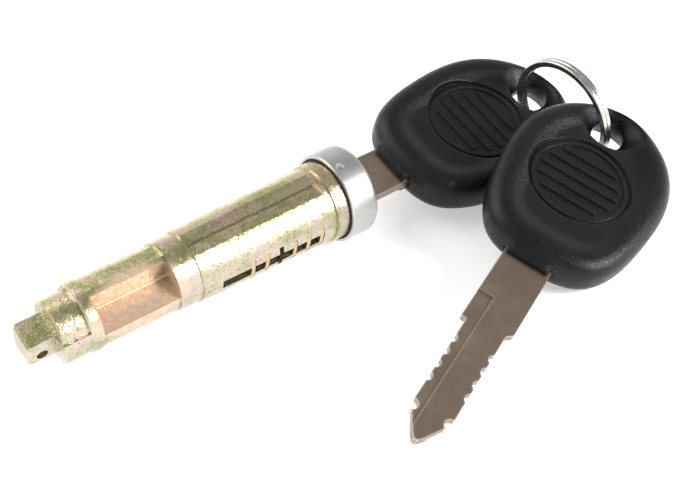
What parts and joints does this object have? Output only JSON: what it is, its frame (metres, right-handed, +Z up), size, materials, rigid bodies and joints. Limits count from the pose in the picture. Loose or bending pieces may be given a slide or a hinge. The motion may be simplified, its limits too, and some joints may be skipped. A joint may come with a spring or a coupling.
{
  "type": "tailgate lock cylinder",
  "caption": "Die-cast lock plug with a wafer mechanism, square drive tang and metal face cap, its key fitted, and a spare key on a split ring.",
  "frame": {"origin": "on the plug's axis, at the middle of the neck journal behind the face cap", "axes": "+X along the plug's axis from the tang towards the key, +Z up from the table the set lies on, -Y towards the spare key"},
  "size_m": [0.1278, 0.0689, 0.0245],
  "materials": {
    "plug_zinc": "yellow passivated die casting",
    "cap_steel": "satin",
    "seal_rubber": "matte",
    "wafer_brass": "stamped",
    "spring_steel": "drawn wire",
    "key_nickel": "milled",
    "head_plastic": "fine grained",
    "ring_nickel": "bright"
  },
  "bodies": {
    "lock_plug": {"plug": "plug_zinc", "face_cap": "cap_steel", "seal_ring": "seal_rubber", "shutter_pin": "spring_steel", "shutter_spring": "spring_steel", "wafer_spring_1": "spring_steel", "wafer_spring_2": "spring_steel", "wafer_spring_3": "spring_steel", "wafer_spring_4": "spring_steel", "wafer_spring_5": "spring_steel"},
    "wafer_1_plate": {"wafer_1": "wafer_brass"},
    "wafer_2_plate": {"wafer_2": "wafer_brass"},
    "wafer_3_plate": {"wafer_3": "wafer_brass"},
    "wafer_4_plate": {"wafer_4": "wafer_brass"},
    "wafer_5_plate": {"wafer_5": "wafer_brass"},
    "shutter_flap": {"shutter": "cap_steel"},
    "key_1": {"key_1_blade": "key_nickel", "key_1_head": "head_plastic"},
    "ring": {"split_ring": "ring_nickel"},
    "key_2": {"key_2_blade": "key_nickel", "key_2_head": "head_plastic"}
  },
  "joints": [
    {"name": "key_1_slide", "type": "slide", "parent": "lock_plug", "child": "key_1", "axis": [1, 0, 0], "range_m": [0, 0.036]},
    {"name": "wafer_1_slide", "type": "slide", "parent": "lock_plug", "child": "wafer_1_plate", "axis": [0, -0.9527, -0.304], "range_m": [0, 0.001], "stiffness_N_per_m": 150, "springref_m": -0.002, "deforming": ["wafer_spring_1"]},
    {"name": "wafer_2_slide", "type": "slide", "parent": "lock_plug", "child": "wafer_2_plate", "axis": [0, -0.9527, -0.304], "range_m": [0, 0.001], "stiffness_N_per_m": 150, "springref_m": -0.002, "deforming": ["wafer_spring_2"]},
    {"name": "wafer_3_slide", "type": "slide", "parent": "lock_plug", "child": "wafer_3_plate", "axis": [0, -0.9527, -0.304], "range_m": [0, 0.001], "stiffness_N_per_m": 150, "springref_m": -0.002, "deforming": ["wafer_spring_3"]},
    {"name": "wafer_4_slide", "type": "slide", "parent": "lock_plug", "child": "wafer_4_plate", "axis": [0, -0.9527, -0.304], "range_m": [0, 0.001], "stiffness_N_per_m": 150, "springref_m": -0.002, "deforming": ["wafer_spring_4"]},
    {"name": "wafer_5_slide", "type": "slide", "parent": "lock_plug", "child": "wafer_5_plate", "axis": [0, -0.9527, -0.304], "range_m": [0, 0.001], "stiffness_N_per_m": 150, "springref_m": -0.002, "deforming": ["wafer_spring_5"]},
    {"name": "shutter_hinge", "type": "hinge", "parent": "lock_plug", "child": "shutter_flap", "pos_m": [0.0061, -0.00065, 0.00205], "axis": [0, 0.9527, 0.304], "range_deg": [0, 18], "stiffness_Nm_per_rad": 0.0004, "springref_deg": -34.38, "deforming": ["shutter_spring"]},
    {"name": "split_ring_lean", "type": "hinge", "parent": "key_1", "child": "ring", "pos_m": [0.0567, -0.0035, -0.0042], "axis": [0, 1, 0], "range_deg": [0, 10]},
    {"name": "key_2_turn", "type": "hinge", "parent": "ring", "child": "key_2", "pos_m": [0.0567, -0.011, 0.00325], "axis": [-0.9934, 0, -0.1149], "range_deg": [0, 85]}
  ]
}
